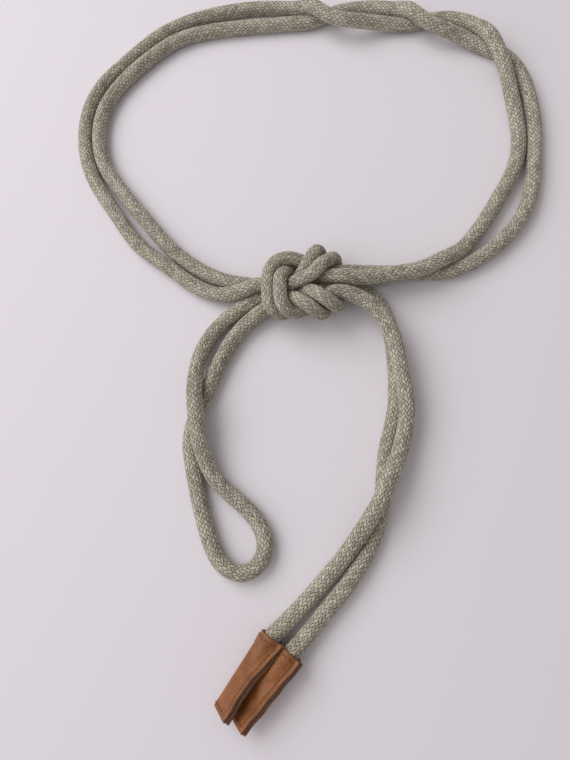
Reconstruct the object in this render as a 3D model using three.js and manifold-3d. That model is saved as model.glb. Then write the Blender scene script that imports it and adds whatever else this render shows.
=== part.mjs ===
// A doubled rope belt, tied in a flat knot and laid on a floor.
// One braided rope is folded in half. Both halves run side by side from the two leather ends, up
// the right-hand tail, round the collar of the knot, round the waist, back through the knot as its
// inner bight, and down the left-hand tail to the fold, which makes a teardrop loop.
// Millimetres, +Z up, floor at z = 0, origin under the middle of the whole belt.

import * as THREE from 'three';
import { mergeVertices } from 'three/addons/utils/BufferGeometryUtils.js';
import Module from 'manifold-3d';

// Rope
const ROPE_DIAMETER = 10;
const KNOT_ROPE_DIAMETER = 8.7; // the same rope, squeezed where the knot pulls on it
const STRAND_GAP = 0.55; // air kept between neighbouring strands
const CUT_GAP = 0.3; // air kept between two stretches that follow on
const ROPE_SIDES = 10;
const KNOT_STEP = 4;
const TAIL_STEP = 7;
const WAIST_STEP = 8;

// Leather ends: a strip folded round the rope, stitched down its open side and across its foot
const LEATHER_WALL = 1.75;
const LEATHER_LENGTH = 49.5;
const ROPE_IN_LEATHER = 15; // how far the rope reaches into its leather end
const ROPE_CLEARANCE = 0.3;
const MOUTH_WIDTH = 16.5; // fold to stitched edge, at the mouth
const FOOT_WIDTH = 18; // fold to stitched edge, at the foot
const SEAM_MARGIN = 2.5; // flat strip outside the rope, where both layers meet
const FLOOR_PRESS = 0.25; // how much the leather flattens where it rests
const ARC_STEPS = 10;

// Each leather end: the mouth's middle, the way it points (degrees from +X) and the lean of its
// stitched edge at the mouth and at the foot
const FIRST_END = { x: -3.4, y: -154.2, heading: 234.8, mouthLean: 38, footLean: 60 };
const SECOND_END = { x: 8.6, y: -163, heading: 233, mouthLean: 42, footLean: 55 };

// Shares of the leather's length, with the share of the bulge left there
const LEATHER_SECTIONS = [
  { along: 0, bulge: 1 },
  { along: 0.16, bulge: 1 },
  { along: 0.32, bulge: 1 },
  { along: 0.44, bulge: 0.62 },
  { along: 0.56, bulge: 0.22 },
  { along: 0.68, bulge: 0 },
  { along: 0.84, bulge: 0 },
  { along: 1, bulge: 0 },
];
const POCKET_START = -0.02; // a little outside the mouth, so that the cut goes through
const POCKET_END = 0.52; // share of the leather's length where the hollow closes

// The rope's route, x, y, z of its middle, chosen by hand from the first leather end to the second
const FIRST_TAIL = [
  [4, -147, 5.5], [14, -137, 5], [27, -122, 5], [40, -107, 7.5], [49, -94, 11.5], [60, -76, 15],
  [65, -62, 14], [72, -43.5, 10.5], [76, -27.5, 12], [76, -14, 13], [73.5, -3.5, 14.5],
  [71.5, 10.5, 14.5], [69.5, 21.5, 15], [67.5, 30.5, 15], [64.5, 36, 15], [60.5, 41.5, 15],
  [55, 46.5, 15], [48.5, 52, 15],
];
const FIRST_COLLAR = [
  [37.5, 53, 18], [27, 51, 15], [17.5, 44.5, 12.5], [10, 41, 13], [4.5, 43, 16.5],
  [1.5, 47.5, 21], [0, 54.5, 23], [0.5, 61.5, 19], [3.5, 69, 9.5], [11, 70, 7.5],
  [19.5, 66.5, 12], [28.5, 61, 18],
];
const FIRST_WAIST = [
  [37.5, 60, 21], [45.5, 61, 18.5], [56, 64, 16], [67, 66.5, 15], [77, 67.5, 15], [86.5, 69, 15],
  [95.5, 72.5, 14], [105, 77.5, 11], [115.5, 86.5, 6], [129.5, 104.5, 5], [141, 124, 5],
  [152, 143, 5], [158, 164, 5], [157, 188, 5], [154, 211, 7], [146, 236, 15], [134, 259, 10],
  [117, 273, 5], [98, 271, 5], [78, 269, 5], [58, 269, 9], [36, 267, 15], [14, 280, 9],
  [-13, 290, 5], [-47, 289, 5], [-75, 283, 5], [-99, 272, 5], [-122, 250, 5], [-142, 228, 5],
  [-151, 205, 5], [-151, 178, 5], [-142, 149, 5], [-123, 121, 5], [-103, 94, 5], [-82, 79, 5],
  [-61, 63, 5], [-44, 56, 5.5], [-28, 58, 11],
];
const FIRST_BIGHT = [
  [-18, 60.5, 13.5], [-8.5, 61, 13], [-1, 60.5, 14], [6, 59, 19], [13, 58.5, 24], [19, 61, 25.5],
  [25, 65.5, 25], [29, 72, 20], [32, 76, 11], [33.5, 72.5, 5.5], [34.5, 64.5, 5],
  [35.5, 56.5, 8], [35, 51, 16], [30, 49, 22.5], [22.5, 49, 26], [13.5, 52.5, 23], [4, 56, 16],
  [-5.5, 58, 10.5], [-15.5, 56, 9],
];
const TAIL_LOOP = [
  [-27, 50, 7], [-43, 37, 5], [-54, 21, 6], [-57, 2, 9.5], [-55, -19, 15], [-52, -43, 11.5],
  [-44, -63, 6.5], [-29, -76, 5], [-14, -89, 5], [-8, -103, 5], [-12, -116, 5], [-24, -122, 5],
  [-37, -115, 5], [-44, -100, 5], [-51, -79, 5], [-56, -56, 5], [-59, -38, 5], [-55, -22, 5],
  [-49, -6, 5], [-42, 12, 5], [-33, 29, 5], [-22, 41, 6],
];
const SECOND_BIGHT = [
  [-13.5, 46, 9], [-5.5, 51.5, 12], [2.5, 53, 17.5], [11.5, 47, 23.5], [18, 45, 22],
  [22, 45.5, 15], [22, 51, 7.5], [23, 59.5, 5], [23, 73, 5], [23.5, 82.5, 6], [22.5, 86, 13],
  [19, 78.5, 22], [13.5, 70, 23], [8, 66.5, 18], [1, 64.5, 9.5], [-7.5, 63.5, 5], [-17, 63, 5],
];
const SECOND_WAIST = [
  [-26, 63, 5], [-39, 66, 5], [-57, 74, 5], [-80, 91, 5], [-99, 113, 5], [-119, 137, 5],
  [-135, 159, 5], [-141, 183, 5], [-139, 208, 5], [-127, 229, 5], [-106, 251, 5], [-86, 266, 5],
  [-60, 272, 5], [-32, 274, 5], [-5, 275, 5], [19, 278, 5], [39, 285, 5], [60, 285, 5.5],
  [80, 277, 9.5], [99, 260, 15], [119, 255, 8.5], [140, 246, 5], [154, 238, 5], [163, 223, 5],
  [168, 199, 5], [169, 176, 5], [167, 154, 5], [164, 131, 5], [156.5, 111, 5], [140.5, 91.5, 5],
  [124.5, 79.5, 5], [108.5, 73, 5], [95.5, 71.5, 5], [83.5, 71.5, 5], [66.5, 71.5, 5],
  [50, 71, 7],
];
const SECOND_COLLAR = [
  [39, 69.5, 12], [29.5, 70, 14], [20.5, 70, 13], [11.5, 69, 14], [3.5, 66, 17.5],
  [-4, 62.5, 19], [-9.5, 58, 19.5], [-10.5, 53.5, 19.5], [-10, 47, 17.5], [-6, 43.5, 12.5],
  [2, 42.5, 9.5], [11.5, 47, 10.5], [19.5, 51.5, 13.5], [28.5, 57.5, 13.5], [37.5, 60, 13],
];
const SECOND_TAIL = [
  [45.5, 61, 8.5], [51.5, 60, 5.5], [57, 56, 5], [60.5, 52, 5], [63, 46.5, 5], [66, 40.5, 5],
  [67.5, 34, 5], [69.5, 24.5, 5], [70, 13, 5], [71, -1.5, 5], [71, -12, 5], [70, -25, 5],
  [66, -37, 5], [63, -56, 5], [61, -76, 5], [57, -93, 5], [48, -112, 5], [36, -130, 5],
  [25, -142, 5], [16, -154, 5.5],
];

const STRETCHES = [
  { name: 'rope_first_tail', points: FIRST_TAIL, tight: false, step: TAIL_STEP },
  { name: 'rope_first_collar', points: FIRST_COLLAR, tight: true, step: KNOT_STEP },
  { name: 'rope_first_waist', points: FIRST_WAIST, tight: false, step: WAIST_STEP },
  { name: 'rope_first_bight', points: FIRST_BIGHT, tight: true, step: KNOT_STEP },
  { name: 'rope_tail_loop', points: TAIL_LOOP, tight: false, step: TAIL_STEP },
  { name: 'rope_second_bight', points: SECOND_BIGHT, tight: true, step: KNOT_STEP },
  { name: 'rope_second_waist', points: SECOND_WAIST, tight: false, step: WAIST_STEP },
  { name: 'rope_second_collar', points: SECOND_COLLAR, tight: true, step: KNOT_STEP },
  { name: 'rope_second_tail', points: SECOND_TAIL, tight: false, step: TAIL_STEP },
];

// Settling: the rope is a row of beads that push apart to one diameter and keep their spacing
const DIVISIONS_PER_POINT = 24; // for measuring the route's length
const BEAD_SPACING = 3;
const SETTLE_ROUNDS = 200;
const CALM_ROUNDS = 60; // the last rounds, with no pull back to the route
const ROUTE_PULL = 0.08;
const BEND_PULL = 0.3;
const CALM_BEND_PULL = 0.08;
const SPACING_PULL = 0.2;
const PUSH_PASSES = 3;
const PUSH_STRENGTH = 1.3;
const SEARCH_EVERY = 5;
const SEARCH_REACH = 1.5; // in rope diameters

const ropeMaterial = new THREE.MeshStandardMaterial({
  name: 'braided_rope',
  color: 0x8f8b78,
  roughness: 0.95,
  metalness: 0,
});
const leatherMaterial = new THREE.MeshStandardMaterial({
  name: 'tan_leather',
  color: 0x8a5030,
  roughness: 0.55,
  metalness: 0,
});

const bulgeRadius = ROPE_DIAMETER / 2 + ROPE_CLEARANCE + LEATHER_WALL;
const mouthHeight = bulgeRadius - FLOOR_PRESS;

function headingOf(end) {
  const angle = THREE.MathUtils.degToRad(end.heading);
  return new THREE.Vector3(Math.cos(angle), Math.sin(angle), 0);
}

function mouthOf(end) {
  return new THREE.Vector3(end.x, end.y, mouthHeight);
}

// The rope inside a leather end is straight, from its cut end to just outside the mouth
function ropeInside(end) {
  const mouth = mouthOf(end);
  const heading = headingOf(end);
  const reaches = [ROPE_IN_LEATHER, ROPE_IN_LEATHER / 2, 0];
  return reaches.map((reach) => mouth.clone().addScaledVector(heading, reach));
}

// The whole route as one curve, and the share of its length where each stretch begins
function layRoute() {
  const points = ropeInside(FIRST_END);
  const firstPoint = [];
  for (const stretch of STRETCHES) {
    firstPoint.push(stretch === STRETCHES[0] ? 0 : points.length);
    points.push(...stretch.points.map(([x, y, z]) => new THREE.Vector3(x, y, z)));
  }
  points.push(...ropeInside(SECOND_END).reverse());
  const curve = new THREE.CatmullRomCurve3(points, false, 'centripetal');
  const divisions = points.length * DIVISIONS_PER_POINT;
  curve.arcLengthDivisions = divisions;
  const lengths = curve.getLengths();
  const total = lengths[lengths.length - 1];
  const shareAt = (index) => lengths[Math.round((index * divisions) / (points.length - 1))] / total;
  const starts = firstPoint.map(shareAt);
  starts.push(1);
  return { curve, total, starts };
}

function layBeads(route) {
  const count = Math.round(route.total / BEAD_SPACING) + 1;
  const beads = route.curve.getSpacedPoints(count - 1).map((p) => [p.x, p.y, p.z]);
  const diameters = beads.map((bead, index) => {
    const share = index / (count - 1);
    const stretch = STRETCHES[route.starts.findLastIndex((start) => start <= share + 1e-9)];
    return stretch && stretch.tight ? KNOT_ROPE_DIAMETER : ROPE_DIAMETER;
  });
  return { beads, diameters };
}

function distanceBetween(a, b) {
  return Math.hypot(a[0] - b[0], a[1] - b[1], a[2] - b[2]);
}

// Pairs of beads that may touch, apart from neighbours along the rope
function nearbyPairs(beads, diameters, skip) {
  const reach = SEARCH_REACH * ROPE_DIAMETER;
  const pairs = [];
  for (let i = 0; i < beads.length; i += 1) {
    for (let j = i + skip; j < beads.length; j += 1) {
      if (distanceBetween(beads[i], beads[j]) < reach) {
        pairs.push({ i, j, apart: (diameters[i] + diameters[j]) / 2 + STRAND_GAP });
      }
    }
  }
  return pairs;
}

function pushApart(beads, pairs, held) {
  const push = beads.map(() => [0, 0, 0, 0]);
  for (const { i, j, apart } of pairs) {
    const distance = distanceBetween(beads[i], beads[j]);
    if (distance >= apart) continue;
    const share = (apart - distance) / distance / 2;
    for (let axis = 0; axis < 3; axis += 1) {
      const move = (beads[i][axis] - beads[j][axis]) * share;
      push[i][axis] += move;
      push[j][axis] -= move;
    }
    push[i][3] += 1;
    push[j][3] += 1;
  }
  beads.forEach((bead, index) => {
    if (held[index] || push[index][3] === 0) return;
    for (let axis = 0; axis < 3; axis += 1) {
      bead[axis] += (push[index][axis] / push[index][3]) * PUSH_STRENGTH;
    }
  });
}

function smoothAndPull(beads, home, held, routePull, bendPull) {
  const before = beads.map((bead) => [...bead]);
  beads.forEach((bead, index) => {
    if (held[index]) return;
    const last = before[index - 1];
    const next = before[index + 1];
    for (let axis = 0; axis < 3; axis += 1) {
      const middle = (last[axis] + next[axis]) / 2;
      bead[axis] += (home[index][axis] - before[index][axis]) * routePull;
      bead[axis] += (middle - before[index][axis]) * bendPull;
    }
  });
}

function keepSpacing(beads, spacing, held) {
  const moves = beads.map(() => [0, 0, 0]);
  for (let index = 0; index < beads.length - 1; index += 1) {
    const length = distanceBetween(beads[index], beads[index + 1]);
    const share = ((length - spacing) / length) * SPACING_PULL;
    for (let axis = 0; axis < 3; axis += 1) {
      const move = (beads[index + 1][axis] - beads[index][axis]) * share;
      moves[index][axis] += move;
      moves[index + 1][axis] -= move;
    }
  }
  beads.forEach((bead, index) => {
    if (held[index]) return;
    for (let axis = 0; axis < 3; axis += 1) bead[axis] += moves[index][axis];
  });
}

function settle(beads, diameters) {
  const home = beads.map((bead) => [...bead]);
  const spacing = beads.slice(1).reduce((sum, bead, i) => sum + distanceBetween(bead, beads[i]), 0)
    / (beads.length - 1);
  const skip = Math.ceil((Math.PI * ROPE_DIAMETER) / 2 / spacing) + 1;
  const heldCount = Math.ceil(ROPE_IN_LEATHER / spacing) + 1;
  const held = beads.map((bead, index) => index < heldCount || index >= beads.length - heldCount);
  let pairs = [];
  for (let round = 0; round < SETTLE_ROUNDS; round += 1) {
    const calm = round >= SETTLE_ROUNDS - CALM_ROUNDS;
    smoothAndPull(beads, home, held, calm ? 0 : ROUTE_PULL, calm ? CALM_BEND_PULL : BEND_PULL);
    if (round % SEARCH_EVERY === 0) pairs = nearbyPairs(beads, diameters, skip);
    for (let pass = 0; pass < PUSH_PASSES; pass += 1) {
      pushApart(beads, pairs, held);
      beads.forEach((bead, index) => {
        bead[2] = Math.max(bead[2], diameters[index] / 2);
      });
    }
    keepSpacing(beads, spacing, held);
  }
}

// A piece of a longer curve, between two shares of its points
class CurvePiece extends THREE.Curve {
  constructor(whole, from, to) {
    super();
    this.whole = whole;
    this.from = from;
    this.to = to;
  }

  getPoint(t, target = new THREE.Vector3()) {
    return this.whole.getPoint(THREE.MathUtils.lerp(this.from, this.to, t), target);
  }
}

// One stretch of rope: a many-sided section swept along its part of the settled curve
function ropeStretch(stretch, startShare, endShare, curve) {
  const halfGap = CUT_GAP / 2 / curve.getLength();
  const from = startShare > 0 ? startShare + halfGap : 0;
  const to = endShare < 1 ? endShare - halfGap : 1;
  const path = new CurvePiece(curve, from, to);
  const radius = (stretch.tight ? KNOT_ROPE_DIAMETER : ROPE_DIAMETER) / 2;
  const section = new THREE.Shape();
  for (let side = 0; side < ROPE_SIDES; side += 1) {
    const angle = (side / ROPE_SIDES) * 2 * Math.PI;
    const point = [radius * Math.cos(angle), radius * Math.sin(angle)];
    if (side === 0) section.moveTo(...point);
    else section.lineTo(...point);
  }
  section.closePath();
  const geometry = new THREE.ExtrudeGeometry(section, {
    steps: Math.round(path.getLength() / stretch.step),
    extrudePath: path,
    bevelEnabled: false,
  });
  const mesh = new THREE.Mesh(geometry, ropeMaterial);
  mesh.name = stretch.name;
  return mesh;
}

// Half of a leather section, from the fold over the bulge to the stitched edge.
// across runs from the fold, up is half the thickness there.
function outerHalf(radius, width) {
  const edge = width - SEAM_MARGIN;
  const reach = Math.hypot(edge - radius, LEATHER_WALL);
  const tangent = Math.atan2(LEATHER_WALL, edge - radius) + Math.acos(Math.min(1, radius / reach));
  const half = [];
  for (let i = 0; i <= ARC_STEPS; i += 1) {
    const angle = Math.PI + ((tangent - Math.PI) * i) / ARC_STEPS;
    half.push({ across: radius + radius * Math.cos(angle), up: radius * Math.sin(angle) });
  }
  half.push({ across: edge, up: LEATHER_WALL }, { across: width, up: LEATHER_WALL });
  return half;
}

function innerHalf(radius, width) {
  const hollow = radius - LEATHER_WALL;
  const edge = width - SEAM_MARGIN;
  const tangent = Math.acos(hollow / (edge - radius));
  const half = [];
  for (let i = 0; i <= ARC_STEPS; i += 1) {
    const angle = Math.PI + ((tangent - Math.PI) * i) / ARC_STEPS;
    half.push({ across: radius + hollow * Math.cos(angle), up: hollow * Math.sin(angle) });
  }
  half.push({ across: edge, up: 0 });
  return half;
}

function bothHalves(half) {
  const lower = half.slice(1).reverse().filter((p) => p.up > 0);
  return [...half, ...lower.map((p) => ({ across: p.across, up: -p.up }))];
}

function sharesBetween(along) {
  const next = LEATHER_SECTIONS.findIndex((row) => row.along >= along);
  if (next <= 0) return LEATHER_SECTIONS[0].bulge;
  const a = LEATHER_SECTIONS[next - 1];
  const b = LEATHER_SECTIONS[next];
  return THREE.MathUtils.mapLinear(along, a.along, b.along, a.bulge, b.bulge);
}

// A section's inside as triangles, zipped between its upper and its lower half
function capTriangles(ring) {
  const triangles = [];
  for (let upper = 0; 2 * upper < ring - 1; upper += 1) {
    const lower = (ring - upper) % ring;
    const lowerNext = ring - upper - 1;
    if (lower !== upper) triangles.push([upper, upper + 1, lower]);
    if (upper + 1 !== lowerNext) triangles.push([lower, upper + 1, lowerNext]);
  }
  return triangles;
}

// A closed skin through sections with the same number of points
function loft(sections) {
  const ring = sections[0].length;
  const positions = [];
  sections.forEach((section) => section.forEach((p) => positions.push(p.x, p.y, p.z)));
  const index = [];
  for (let s = 0; s < sections.length - 1; s += 1) {
    for (let i = 0; i < ring; i += 1) {
      const a = s * ring + i;
      const b = s * ring + ((i + 1) % ring);
      index.push(a, b + ring, b, a, a + ring, b + ring);
    }
  }
  const lastRing = (sections.length - 1) * ring;
  for (const [a, b, c] of capTriangles(ring)) {
    index.push(a, b, c);
    index.push(lastRing + a, lastRing + c, lastRing + b);
  }
  const geometry = new THREE.BufferGeometry();
  geometry.setAttribute('position', new THREE.Float32BufferAttribute(positions, 3));
  geometry.setIndex(index);
  return geometry;
}

function toSolid(wasm, geometry) {
  const merged = mergeVertices(geometry);
  return new wasm.Manifold(new wasm.Mesh({
    numProp: 3,
    vertProperties: new Float32Array(merged.attributes.position.array),
    triVerts: new Uint32Array(merged.index.array),
  }));
}

function toGeometry(solid) {
  const { vertProperties, triVerts } = solid.getMesh();
  const geometry = new THREE.BufferGeometry();
  geometry.setAttribute('position', new THREE.BufferAttribute(new Float32Array(vertProperties), 3));
  geometry.setIndex(new THREE.BufferAttribute(new Uint32Array(triVerts), 1));
  geometry.computeVertexNormals();
  return geometry;
}

function leatherSection(end, along, half, radius) {
  const heading = headingOf(end);
  const level = new THREE.Vector3(-heading.y, heading.x, 0);
  const lean = THREE.MathUtils.degToRad(THREE.MathUtils.lerp(end.mouthLean, end.footLean, along));
  const width = level.clone().multiplyScalar(Math.cos(lean)).setZ(Math.sin(lean));
  const thickness = level.clone().multiplyScalar(-Math.sin(lean)).setZ(Math.cos(lean));
  const middle = mouthOf(end)
    .addScaledVector(heading, along * LEATHER_LENGTH)
    .addScaledVector(level, radius - bulgeRadius);
  middle.z = radius - FLOOR_PRESS;
  return bothHalves(half).map((p) => middle.clone()
    .addScaledVector(width, p.across - radius)
    .addScaledVector(thickness, p.up));
}

function leatherEnd(wasm, name, end) {
  const flatRadius = LEATHER_WALL;
  const outer = [];
  const pocket = [];
  const rows = LEATHER_SECTIONS.map((row) => row.along);
  for (const along of rows) {
    const radius = THREE.MathUtils.lerp(flatRadius, bulgeRadius, sharesBetween(along));
    const width = THREE.MathUtils.lerp(MOUTH_WIDTH, FOOT_WIDTH, along);
    outer.push(leatherSection(end, along, outerHalf(radius, width), radius));
  }
  const pocketRows = [POCKET_START, ...rows.filter((along) => along > 0 && along < POCKET_END), POCKET_END];
  for (const along of pocketRows) {
    const radius = THREE.MathUtils.lerp(flatRadius, bulgeRadius, sharesBetween(along));
    const width = THREE.MathUtils.lerp(MOUTH_WIDTH, FOOT_WIDTH, along);
    pocket.push(leatherSection(end, along, innerHalf(radius, width), radius));
  }
  const room = LEATHER_LENGTH * 4;
  const aboveFloor = new THREE.BoxGeometry(room, room, room);
  aboveFloor.deleteAttribute('normal');
  aboveFloor.deleteAttribute('uv');
  aboveFloor.translate(end.x, end.y, room / 2);
  const solid = toSolid(wasm, loft(outer))
    .subtract(toSolid(wasm, loft(pocket)))
    .intersect(toSolid(wasm, aboveFloor));
  const mesh = new THREE.Mesh(toGeometry(solid), leatherMaterial);
  mesh.name = name;
  return mesh;
}

const wasm = await Module();
wasm.setup();

const route = layRoute();
const { beads, diameters } = layBeads(route);
settle(beads, diameters);

const leather = [
  leatherEnd(wasm, 'leather_end_first', FIRST_END),
  leatherEnd(wasm, 'leather_end_second', SECOND_END),
];
const settled = new THREE.CatmullRomCurve3(beads.map((bead) => new THREE.Vector3(...bead)));
const rope = STRETCHES.map((stretch, i) => (
  ropeStretch(stretch, route.starts[i], route.starts[i + 1], settled)));

const belt = new THREE.Group();
belt.name = 'rope_belt';
belt.add(...rope, ...leather);
const middle = new THREE.Box3().setFromObject(belt).getCenter(new THREE.Vector3());
belt.position.set(-middle.x, -middle.y, 0);
belt.updateMatrixWorld(true);

export default belt;
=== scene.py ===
# Rope belt: a doubled braided rope tied in a flat knot, with two stitched leather ends.
# Metres, +Z up, floor at z = 0. The route below is the one that the belt's solids follow.

import math

import bmesh
import bpy
import numpy as np
from mathutils import Matrix, Vector

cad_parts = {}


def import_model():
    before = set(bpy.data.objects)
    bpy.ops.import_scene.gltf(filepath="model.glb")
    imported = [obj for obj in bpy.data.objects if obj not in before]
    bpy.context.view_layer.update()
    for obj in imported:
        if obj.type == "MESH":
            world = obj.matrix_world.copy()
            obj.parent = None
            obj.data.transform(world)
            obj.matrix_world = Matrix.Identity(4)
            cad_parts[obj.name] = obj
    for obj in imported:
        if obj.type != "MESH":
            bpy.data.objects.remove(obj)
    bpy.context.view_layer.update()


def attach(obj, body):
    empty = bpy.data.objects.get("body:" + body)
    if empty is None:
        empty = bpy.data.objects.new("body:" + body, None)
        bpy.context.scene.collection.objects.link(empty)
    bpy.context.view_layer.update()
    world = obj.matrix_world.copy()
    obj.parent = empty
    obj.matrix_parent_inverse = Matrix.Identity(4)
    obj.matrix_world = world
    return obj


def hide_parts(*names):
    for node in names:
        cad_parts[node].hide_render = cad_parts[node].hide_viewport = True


# Rope
ROPE_DIAMETER = 0.010
KNOT_ROPE_DIAMETER = 0.0087
STRAND_GAP = 0.0003
ROPE_FULLNESS = 1.04  # the braid swells past its settled size, and neighbours press it flat
SQUEEZE_LENGTH = 0.014  # over which the rope narrows into the knot
PRESS_REACH = 2.3  # how far off a neighbour's middle is looked for, in radii
ROPE_LIFT = 0.00005  # the rope's skin stays this far above the floor

# Braid
BRAID_COLUMNS = 16
BRAID_PITCH = 0.00335  # one stitch along the rope
RINGS_PER_PITCH = 6
SIDES_PER_COLUMN = 4
# How far a stitch runs along the rope while it crosses a column, in pitches: one ring a side
STITCH_RISE = SIDES_PER_COLUMN / RINGS_PER_PITCH
COLUMN_SHIFT = 0.5  # how far each second column lags, in pitches
STITCH_DEPTH = 0.0006
BRAID_WANDER = 0.45  # how far the braid turns about the rope as it goes, in radians
WANDER_LENGTH = 0.23
SECOND_WANDER = {"share": 0.6, "turns": 5.1, "start": 1.3}  # a second wave on top of the first
RELIEF_PHASE = 0.5 / RINGS_PER_PITCH  # half a ring, so that no ring falls between two stitches

# A stitch's crown: how blunt it is along and across the rope, less is blunter, then its height
# at its sides and what its middle adds, and its height between its plies and what they add
CROWN_BLUNTNESS = 0.6
CROWN_BLUNTNESS_ACROSS = 0.7
CROWN_AT_SIDES = 0.55
CROWN_IN_MIDDLE = 0.45
CROWN_BETWEEN_PLIES = 0.7
CROWN_ON_PLIES = 0.3

# Settling: beads that push apart to one diameter and keep their spacing, as in the solids
BEAD_SPACING = 0.003
SETTLE_ROUNDS = 200
CALM_ROUNDS = 60
ROUTE_PULL = 0.08
BEND_PULL = 0.3
CALM_BEND_PULL = 0.08
SPACING_PULL = 0.2
PUSH_PASSES = 3
PUSH_STRENGTH = 1.3
SEARCH_EVERY = 5
SEARCH_REACH = 1.5

# Points of a curve for each span between two given points
ROUTE_STEPS = 24
MIDDLE_STEPS = 12

# Leather ends
LEATHER_WALL = 0.00175
LEATHER_LENGTH = 0.0495
SEAM_TO_FOLD = 0.0185  # round the outside
ROPE_IN_LEATHER = 0.015
ROPE_CLEARANCE = 0.0003
FLOOR_PRESS = 0.00025
MOUTH_WIDTH = 0.0165
FOOT_WIDTH = 0.018
SEAM_MARGIN = 0.0025
BULGE_RADIUS = ROPE_DIAMETER / 2 + ROPE_CLEARANCE + LEATHER_WALL
FIRST_END = {
    "x": -0.0034,
    "y": -0.1542,
    "heading": 237.2,
    "length": 0.0503,
    "leans": ((0, 30), (0.15, 42), (0.3, 53), (0.5, 59), (0.75, 59), (1, 55)),
}
SECOND_END = {
    "x": 0.0079,
    "y": -0.1624,
    "heading": 231.4,
    "length": 0.0488,
    "leans": ((0, 38), (0.5, 47), (1, 45)),
}
# At shares of the leather's length: the leans above in degrees, and here how much of the
# rope's bulge is left
BULGE_SHARES = ((0, 1), (0.3, 1), (0.44, 0.74), (0.6, 0.42), (0.8, 0.14), (1, 0))
SEAM_SPREAD = 0.1  # how much thicker the stitched edge is at the foot than at the mouth
SHEET_THICKNESS = 0.00205
SHEET_PARTING = 0.0001  # the sheet is thinner by this much, so that its two layers don't meet
LEATHER_LIFT = 0.00002  # its lowest skin stays this far above the floor
LEATHER_STEPS = 84
LEATHER_STEPS_ROUND = 30  # from the fold to the stitched edge
BULGE_ARC_POINTS = 24
EDGE_WAVES = ((0.00035, 9, 1), (0.0002, 23, 2))  # height, turn along the edge, share of the seed
EDGE_SEEDS = {"first": 0.4, "second": 2.1}
EDGE_ROUNDING = 0.00035
STITCH_INSET = 0.0024
STITCH_PITCH = 0.0031
STITCH_LENGTH = 0.0023
THREAD_RADIUS = 0.00038
THREAD_SIDES = 7
THREAD_START = 0.7  # the thread's width in the hole that it comes out of, as a share of its full width
THREAD_STOP = 0.75  # how much narrower its last ring is than the one before
THREAD_SWELL = 0.4
THREAD_RISE = 0.35  # how far a stitch's middle stands above the leather, in thread radii
THREAD_DIP = -0.9
THREAD_RINGS = (0.25, 0.5, 0.75, 1.0)
THREAD_LIFT = 0.00001
GROOVE_DEPTH = 0.0002
GROOVE_WIDTH = 0.0006
# The seams' places, in insets from the leather's edges
MOUTH_SEAM = 1.2
FOLD_SEAM = 1.1
FOLD_SEAM_END = 3.4

# Camera: the photograph's frame is 570 by 760
CAMERA_AT = (0.033949, -0.094234, 0.376515)
CAMERA_RIGHT = (0.996199, 0.021156, -0.084529)
CAMERA_UP = (0.0, 0.970078, 0.242792)
FOCAL_SHARE = 600 / 570  # focal length over the frame's width
SENSOR_WIDTH = 36
VIEW_RANGE = (0.01, 10)

# Light and floor
WINDOW_LIGHT = {"at": (-1.25, 0.95, 1.5), "size": 1.8, "power": 25.5, "colour": (1.0, 0.955, 0.97)}
ROOM_LIGHT = {"at": (-1.6, -0.6, 1.5), "size": 2.4, "power": 16, "colour": (1.0, 0.96, 0.985)}
WORLD_COLOUR = (0.97, 0.9, 0.87, 1)
WORLD_STRENGTH = 0.365
FLOOR_SIZE = 4
FLOOR_COLOUR = (0.815, 0.8, 0.855, 1)
FLOOR_ROUGHNESS = 0.75

# Colours from dark to light, each at its place on the tone that a finish works out
COTTON_TONES = (
    (0.26, (0.21, 0.185, 0.135, 1)),
    (0.46, (0.515, 0.485, 0.39, 1)),
    (0.68, (0.81, 0.775, 0.65, 1)),
)
# The colour of the painted shade in the holes between stitches and in the creases between plies
COTTON_GAP_SHADE = (0.075, 0.066, 0.046, 1)
# What each part gives to the cotton's tone, and what is taken off the sum
COTTON_SHARES = {"yarn": 0.22, "fibres": 0.5, "flecks": 0.95, "patches": 0.15, "less": 0.41}
PLY_LINE_SHADE = 0.38  # how dark the painted shade in the crease between two plies is
# How much of the painted shade colour the darkest hole or crease takes
DARKEST_GAP_SHADE = 0.93
FIBRE_RUN = (7.0, 1.6, 7.3)  # steps of the fibres' noise along, across and from column to column
PLY_SHARPNESS = 0.6
# The crown for the bump's shading, and the painted shade in its holes: at a stitch's ends, more at its
# corners, and along its sides
SHADE_BLUNTNESS = 0.7
SHADE_AT_SIDES = 0.65
SHADE_IN_MIDDLE = 0.35
HOLE_SHADE_AT_ENDS = 0.68
HOLE_SHADE_AT_CORNERS = 0.7
HOLE_SHADE_AT_SIDES = 0.12
LEATHER_TONES = ((0.32, (0.16, 0.055, 0.014, 1)), (0.75, (0.345, 0.133, 0.039, 1)))
RAW_EDGE_TONES = ((0.35, (0.055, 0.025, 0.014, 1)), (0.72, (0.27, 0.13, 0.075, 1)))
THREAD_COLOURS = ((0.16, 0.055, 0.017, 1), (0.3, 0.115, 0.038, 1))

# The belt is centred on its bounding box
BELT_OFFSET = (-0.008569, -0.044787)

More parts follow.
